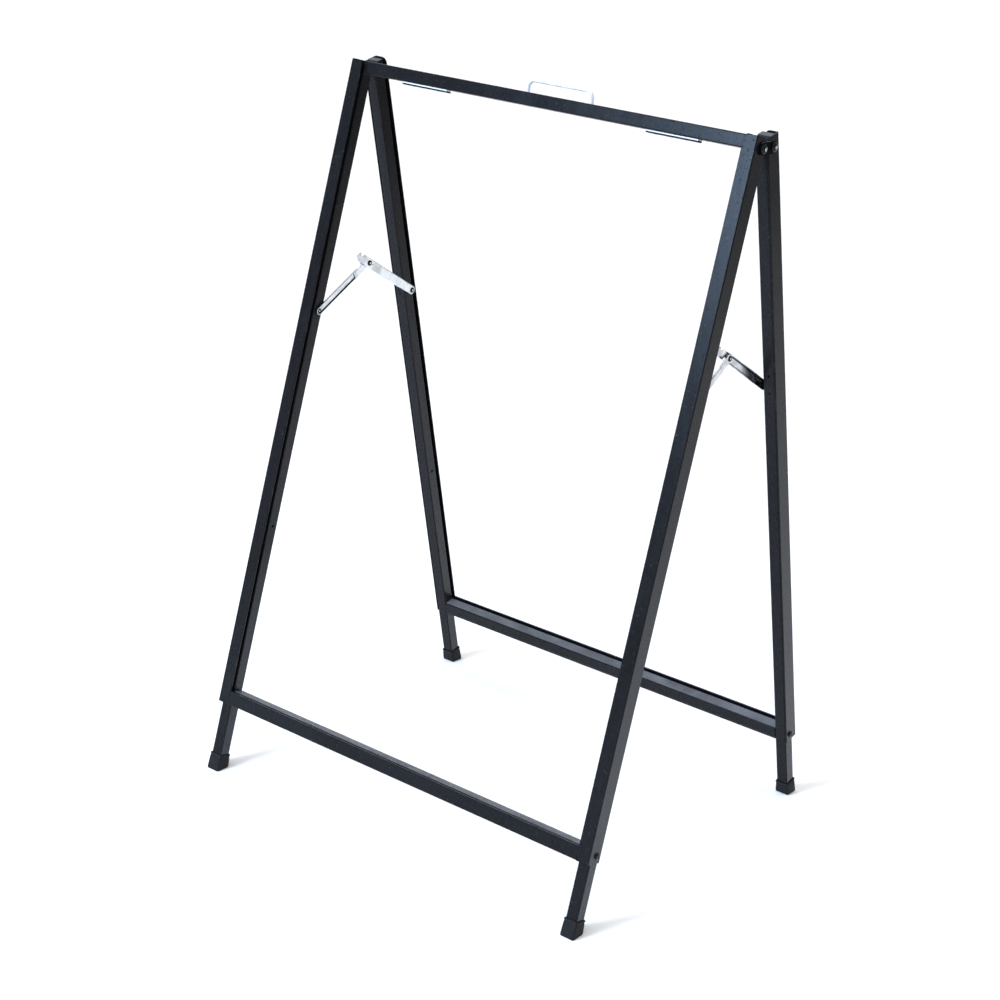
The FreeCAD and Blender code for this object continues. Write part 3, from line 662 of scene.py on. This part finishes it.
for side, way in SIDES:
    # front arm: channel, tongue with its thumb ear, and the rivet to the leg
    build = bmesh.new()
    mouth = FRONT_BASE - CHANNEL
    channel(build, "front", way, FRONT_BASE, mouth, ARM - 20.0 * MM, FRONT_WIDTH, 0.0)
    add_piece(f"stay_front_channel_{side}", mesh_of(build, "channel"), f"stay_front_{side}",
              zinc, [f"stay_front_arm_{side}"], smooth=32.0,
              second=(shade, channel_walls("front", way, FRONT_BASE, mouth, FRONT_WIDTH,
                                           1.9 * MM)))
    half = 4.95 * MM
    back = ARM - 28.0 * MM
    ear = ARM - 10.0 * MM
    outer = [(back, half), (back, -half)] + arc(ARM, 0.0, half, -90.0, 90.0, 18)
    outer += arc(ear + 3.4 * MM, half + 0.9 * MM, 0.9 * MM, 270.0, 180.0, 4)
    outer += arc(ear, half + 2.5 * MM, 2.5 * MM, 0.0, 180.0, 14)
    outer += arc(ear - 3.4 * MM, half + 0.9 * MM, 0.9 * MM, 0.0, -90.0, 4)
    mesh = arm_plate("tongue", "front", way, outer, [(ARM, 0.0, 2.0 * MM)], mouth + 0.01 * MM,
                     mouth + TONGUE, 0.3 * MM)
    add_piece(f"stay_tongue_{side}", mesh, f"stay_front_{side}", zinc)
    # rear arm: channel, hooked tab and the pressed dimple
    build = bmesh.new()
    mouth = REAR_BASE + CHANNEL
    channel(build, "rear", way, REAR_BASE, mouth, ARM + 5.0 * MM, REAR_WIDTH, ARM)
    x_axis, y_axis, z_axis = arm_axes("rear", way)
    dome(build, arm_point("rear", way, REAR_BASE, ARM - 7.2 * MM, 0.0), -x_axis, y_axis,
         -0.3 * MM, 1.5 * MM, 1.35 * MM, 24)
    add_piece(f"stay_rear_channel_{side}", mesh_of(build, "channel"), f"stay_rear_{side}",
              zinc, [f"stay_rear_arm_{side}"], smooth=32.0,
              second=(shade, channel_walls("rear", way, REAR_BASE, mouth, REAR_WIDTH,
                                           2.8 * MM)))
    half = 5.95 * MM
    end = ARM + 27.0 * MM
    notch = end - 8.4 * MM
    outer = [(ARM + 3.5 * MM, half), (ARM + 3.5 * MM, -half)]
    outer += arc(end - half, 0.0, half, -90.0, 82.0, 18)
    outer += arc(notch, half, 3.4 * MM, -4.0, -180.0, 14)
    mesh = arm_plate("tab", "rear", way, outer, [], REAR_BASE + 0.01 * MM,
                     REAR_BASE + SHEET - 0.01 * MM, 0.28 * MM)
    add_piece(f"stay_tab_{side}", mesh, f"stay_rear_{side}", zinc)
    # middle rivet, domed on both sides
    x_axis, y_axis, z_axis = arm_axes("front", way)
    build = bmesh.new()
    low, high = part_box(f"stay_middle_rivet_{side}")
    far = max(abs(low.x), abs(high.x))
    near = min(abs(low.x), abs(high.x))
    far_end = arm_point("front", way, far, ARM, 0.0)
    near_end = arm_point("front", way, near, ARM, 0.0)
    dome(build, far_end, x_axis, y_axis, -HEAD_HEIGHT, HEAD, HEAD_HEIGHT)
    dome(build, near_end, -x_axis, y_axis, -HEAD_HEIGHT, HEAD, HEAD_HEIGHT)
    turned(build, near_end, x_axis, y_axis,
           [(0.9 * MM, 1.2 * MM), (1.0 * MM, 1.95 * MM), (far - near - 1.0 * MM, 1.95 * MM),
            (far - near - 0.9 * MM, 1.2 * MM)], 24)
    add_piece(f"stay_knee_rivet_{side}", mesh_of(build, "rivet"), f"stay_front_{side}",
              zinc, [f"stay_middle_rivet_{side}"],
              second=(shade, rim_of(near_end)))
    # front end rivet: head inside the channel, shank and tail in the leg's wall
    build = bmesh.new()
    seat = FRONT_BASE - SHEET - 0.3 * MM
    start = arm_point("front", way, seat, 0.0, 0.0)
    dome(build, arm_point("front", way, seat - HEAD_HEIGHT, 0.0, 0.0), -x_axis, y_axis,
         -HEAD_HEIGHT, 3.6 * MM, HEAD_HEIGHT)
    turned(build, start, x_axis, y_axis,
           [(-0.3 * MM, 1.2 * MM), (-0.2 * MM, 1.97 * MM), (3.0 * MM, 1.97 * MM),
            (3.3 * MM, 1.6 * MM)], 24)
    add_piece(f"stay_leg_rivet_{side}", mesh_of(build, "rivet"), "front_frame", zinc,
              ["front_stay_rivets"] if side == "right" else (),
              second=(shade, rim_of(start)))
    # rear end rivet with its spacer sleeve, which stops short of the leg
    x_axis, y_axis, z_axis = arm_axes("rear", way)
    build = bmesh.new()
    start = arm_point("rear", way, REAR_BASE, 0.0, 0.0)
    dome(build, arm_point("rear", way, REAR_BASE - HEAD_HEIGHT, 0.0, 0.0), -x_axis, y_axis,
         -HEAD_HEIGHT, HEAD, HEAD_HEIGHT)
    stop = LEG_FACE - 0.5 * MM - REAR_BASE
    turned(build, start, x_axis, y_axis,
           [(SHEET, 2.1 * MM), (SHEET, 3.2 * MM), (SHEET + 0.2 * MM, 3.4 * MM),
            (stop - 0.3 * MM, 3.4 * MM), (stop - 0.1 * MM, 3.2 * MM), (stop - 0.1 * MM, 2.1 * MM),
            (stop, 1.95 * MM), (stop, 0.8 * MM)], 32)
    add_piece(f"stay_end_rivet_{side}", mesh_of(build, "rivet"), f"stay_rear_{side}",
              zinc, [f"stay_rear_rivet_{side}"],
              second=(shade, rim_of(start)))


# ---- carrying handle: one bent wire, swept round ----
def rounded_path(corners, radii, steps=9):
    path = [corners[0]]
    for index in range(1, len(corners) - 1):
        corner = corners[index]
        before = (corners[index - 1] - corner).normalized()
        after = (corners[index + 1] - corner).normalized()
        half_turn = before.angle(after) / 2.0
        radius = radii[index - 1]
        reach = radius / math.tan(half_turn)
        centre = corner + (before + after).normalized() * (radius / math.sin(half_turn))
        start = corner + before * reach - centre
        stop = corner + after * reach - centre
        sweep = start.angle(stop)
        for i in range(steps + 1):
            t = i / steps
            spot = (start * math.sin((1.0 - t) * sweep) + stop * math.sin(t * sweep))
            path.append(centre + spot / math.sin(sweep))
    path.append(corners[-1])
    return path


def swept(build, path, normal, outline, ends=()):
    """Sweeps an outline along a flat path; the end rows shrink to a rounded tip."""
    rows = []
    last = len(path) - 1
    for index, point in enumerate(path):
        ahead = path[min(index + 1, last)] - path[max(index - 1, 0)]
        ahead.normalize()
        beside = normal.cross(ahead).normalized()
        rows.append((point, ahead, beside))
    rings = []
    for back, scale in ends:
        point, ahead, beside = rows[0]
        rings.append([point - ahead * back + beside * (u * scale) + normal * (v * scale)
                      for u, v in outline])
    for point, ahead, beside in rows:
        rings.append([point + beside * u + normal * v for u, v in outline])
    for back, scale in reversed(ends):
        point, ahead, beside = rows[-1]
        rings.append([point + ahead * back + beside * (u * scale) + normal * (v * scale)
                      for u, v in outline])
    loft(build, rings)


tilt = joints["handle_tilt"]["pos_m"]
grip = 47.5 * MM
rise = 21.5 * MM
foot_end = grip - 15.0 * MM
corners = [Vector((x, tilt[1], tilt[2] + z)) for x, z in (
    (foot_end + 0.5 * MM, 0.0), (grip, 0.0), (grip, rise), (-grip, rise), (-grip, 0.0),
    (-foot_end - 0.5 * MM, 0.0))]
build = bmesh.new()
swept(build, rounded_path(corners, (4.0 * MM, 9.0 * MM, 9.0 * MM, 4.0 * MM)),
      Vector((0.0, 1.0, 0.0)), circle(2.0 * MM, 24), ((0.5 * MM, 0.7), (0.35 * MM, 0.92)))
add_piece("handle_wire", mesh_of(build, "wire"), "handle", bright_wire, ["handle_bail"],
          smooth=50.0)

# ---- clip rivets: domed heads on the back of the rear bar ----
low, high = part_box("handle_clip_rivets")
rivet_x = (high.x - low.x) / 2.0 - 2.0 * MM
origin, across, deep, high_axis = flat_axes("rear", 1)
for side, way in SIDES:
    node_centre = (low + high) / 2.0
    centre = Vector((way * rivet_x, node_centre.y, node_centre.z))
    build = bmesh.new()
    dome(build, centre - deep * (1.0 * MM), -deep, high_axis, -0.2 * MM, 1.95 * MM, 0.75 * MM, 24)
    dome(build, centre + deep * (1.0 * MM), deep, high_axis, -0.2 * MM, 1.55 * MM, 0.65 * MM, 24)
    turned(build, centre, deep, high_axis, [(-1.1 * MM, 0.6 * MM), (-1.1 * MM, 1.18 * MM),
           (1.1 * MM, 1.18 * MM), (1.1 * MM, 0.6 * MM)], 20)
    add_piece(f"clip_rivet_head_{side}", mesh_of(build, "rivet"), "rear_frame", zinc,
              ["handle_clip_rivets"] if side == "right" else ())


def box_corners(y0, y1, z0, z1, corner, steps):
    """The four rounded corners of a box's outline, each a row of points."""
    return [arc((y0 + y1) / 2.0 + cy * ((y1 - y0) / 2.0 - corner),
                (z0 + z1) / 2.0 + cz * ((z1 - z0) / 2.0 - corner), corner, start, start + 90.0,
                steps)
            for cy, cz, start in ((1, 1, 0.0), (-1, 1, 90.0), (-1, -1, 180.0), (1, -1, 270.0))]


# ---- pads under the front bar: a pale foam core with a black felt face ----
def soft_block(build, which, x0, x1, y0, y1, z0, z1, corner):
    """A long soft block in a leg frame, its long edges and ends rounded."""
    outline = sum(box_corners(y0, y1, z0, z1, corner, 4), [])
    mid_y, mid_z = (y0 + y1) / 2.0, (z0 + z1) / 2.0
    rings = []
    count = 26
    stations = [(x0, 0.86), (x0 + corner * 0.4, 0.96), (x0 + corner, 1.0)]
    stations += [(x0 + corner + (x1 - x0 - 2.0 * corner) * i / count, 1.0)
                 for i in range(1, count)]
    stations += [(x1 - corner, 1.0), (x1 - corner * 0.4, 0.96), (x1, 0.86)]
    for x, scale in stations:
        sway = 0.06 * MM * math.sin(x * 310.0)
        rings.append([world(which, x, mid_y + (y - mid_y) * scale, mid_z + (z - mid_z) * scale
                            + (sway if z < mid_z else 0.0))
                      for y, z in outline])
    loft(build, rings)


BAR_TOP = 12.6 * MM
UNDER_BAR = BAR_TOP - TUBE
PAD_CENTRE = 184.0 * MM
for side, way in SIDES:
    middle = way * PAD_CENTRE
    build = bmesh.new()
    soft_block(build, "front", middle - 35.7 * MM, middle + 35.7 * MM, -4.3 * MM, 4.3 * MM,
               UNDER_BAR - 1.5 * MM, UNDER_BAR, 0.3 * MM)
    add_piece(f"pad_foam_{side}", mesh_of(build, "foam"), "front_frame", foam,
              ["front_bar_bumpers"] if side == "right" else ())
    build = bmesh.new()
    soft_block(build, "front", middle - 36.0 * MM, middle + 36.0 * MM, -4.5 * MM, 4.5 * MM,
               UNDER_BAR - 3.3 * MM, UNDER_BAR - 1.45 * MM, 0.6 * MM)
    add_piece(f"pad_felt_{side}", mesh_of(build, "felt"), "front_frame", rubber)


# ---- weld beads where the bars meet the legs ----
chance = random.Random(16)


def weld_bead(build, which, way, y0, y1, z0, z1, corner, size):
    """A rippled fillet round the end of a bar, against the inner face of the leg."""
    corners = box_corners(y0, y1, z0, z1, corner, 5)
    loop = []
    for points, following in zip(corners, corners[1:] + corners[:1]):
        (from_y, from_z), (to_y, to_z) = points[-1], following[0]
        loop += points
        loop += [(from_y + (to_y - from_y) * i / 30.0, from_z + (to_z - from_z) * i / 30.0)
                 for i in range(1, 30)]
    x_face = way * LEG_FACE
    mid_y, mid_z = (y0 + y1) / 2.0, (z0 + z1) / 2.0
    rings = []
    for index, (y, z) in enumerate(loop):
        grow = size * (0.82 + 0.18 * abs(math.sin(index * 0.62)) + chance.uniform(-0.04, 0.04))
        out = Vector((y - mid_y, z - mid_z)).normalized()
        ring = []
        for u, v in ((0.25, -0.5), (-1.0, -0.4), (-0.72, 0.28), (-0.42, 0.62), (0.0, 0.9),
                     (0.25, 0.9)):
            ring.append(world(which, x_face + way * u * grow, y + out.x * v * grow,
                              z + out.y * v * grow))
        rings.append(ring)
    rows = [[build.verts.new(point) for point in ring] for ring in rings]
    total = len(rows)
    for index in range(total):
        a, b = rows[index], rows[(index + 1) % total]
        for i in range(len(a)):
            j = (i + 1) % len(a)
            build.faces.new((a[i], a[j], b[j], b[i]))


for side, way in SIDES:
    build = bmesh.new()
    weld_bead(build, "front", way, -8.0 * MM, 8.0 * MM, BAR_TOP - TUBE, BAR_TOP, 1.6 * MM,
              1.5 * MM)
    add_piece(f"front_bar_weld_{side}", mesh_of(build, "weld"), "front_frame",
              coat, smooth=70.0)
    build = bmesh.new()
    weld_bead(build, "rear", way, -3.0 * MM, 8.0 * MM, BAR_TOP - TUBE, BAR_TOP - 5.0 * MM,
              1.6 * MM, 1.3 * MM)
    add_piece(f"rear_bar_weld_{side}", mesh_of(build, "weld"), "rear_frame",
              coat, smooth=70.0)


# ---------------------------------------------------------------- stage, light, camera
floor_material, _ = new_material("floor", (0.93, 0.93, 0.93), 0.75, specular=0.2)
mesh = bpy.data.meshes.new("floor")
reach = 30.0
mesh.from_pydata([(-reach, -reach, 0), (reach, -reach, 0), (reach, reach, 0), (-reach, reach, 0)],
                 [], [(0, 1, 2, 3)])
mesh.materials.append(floor_material)
floor = bpy.data.objects.new("floor", mesh)
bpy.context.scene.collection.objects.link(floor)
floor.location.z = -0.3 * MM

scene = bpy.context.scene
scene.view_settings.view_transform = "Standard"
sky = bpy.data.worlds.new("studio")
sky.use_nodes = True
sky.node_tree.nodes["Background"].inputs["Color"].default_value = (0.95, 0.97, 1.0, 1.0)
heading = sky.node_tree.nodes.new("ShaderNodeTexCoord")
split = sky.node_tree.nodes.new("ShaderNodeSeparateXYZ")
rise_map = sky.node_tree.nodes.new("ShaderNodeMapRange")
rise_map.inputs["From Min"].default_value = 0.05
rise_map.inputs["From Max"].default_value = 0.75
rise_map.inputs["To Min"].default_value = 0.62
rise_map.inputs["To Max"].default_value = 0.40
sky.node_tree.links.new(heading.outputs["Generated"], split.inputs[0])
sky.node_tree.links.new(split.outputs["Z"], rise_map.inputs["Value"])
sky.node_tree.links.new(rise_map.outputs["Result"],
                        sky.node_tree.nodes["Background"].inputs["Strength"])
scene.world = sky


def aim(thing, target):
    thing.rotation_euler = (Vector(target) - thing.location).to_track_quat("-Z", "Y").to_euler()


def add_light(name, kind, place, target, energy, color, size=None, size_y=None, angle=None):
    data = bpy.data.lights.new(name, kind)
    data.energy = energy
    data.color = color
    if size is not None:
        data.shape = "RECTANGLE"
        data.size = size
        data.size_y = size_y
    if angle is not None:
        data.angle = angle
    light = bpy.data.objects.new(name, data)
    scene.collection.objects.link(light)
    light.location = place
    aim(light, target)


add_light("overhead", "SUN", (-0.6, -0.9, 4.0), (0, 0, 0), 2.35, (1.0, 0.99, 0.98),
          angle=math.radians(70))
add_light("front_soft", "AREA", (-0.95, -2.85, 2.0), (0.1, -0.1, 0.75), 150.0, (0.49, 0.70, 1.0),
          size=0.9, size_y=1.3)

camera_data = bpy.data.cameras.new("camera")
camera_data.sensor_width = 36.0
camera_data.lens = 73.28
camera_data.shift_x = -0.06
camera_data.shift_y = -0.06
camera_data.clip_end = 100.0
camera = bpy.data.objects.new("camera", camera_data)
scene.collection.objects.link(camera)
turn, tilt, roll = -0.6212, 0.3233, 0.0754
forward = Vector((math.sin(turn) * math.cos(tilt), math.cos(turn) * math.cos(tilt),
                  -math.sin(tilt)))
level = forward.cross(Vector((0, 0, 1))).normalized()
upright = level.cross(forward)
right = math.cos(roll) * level + math.sin(roll) * upright
up = -math.sin(roll) * level + math.cos(roll) * upright
camera.matrix_world = Matrix.Translation((1.43911, -1.94210, 1.28826)) @ Matrix(
    (right, up, -forward)).transposed().to_4x4()
scene.camera = camera
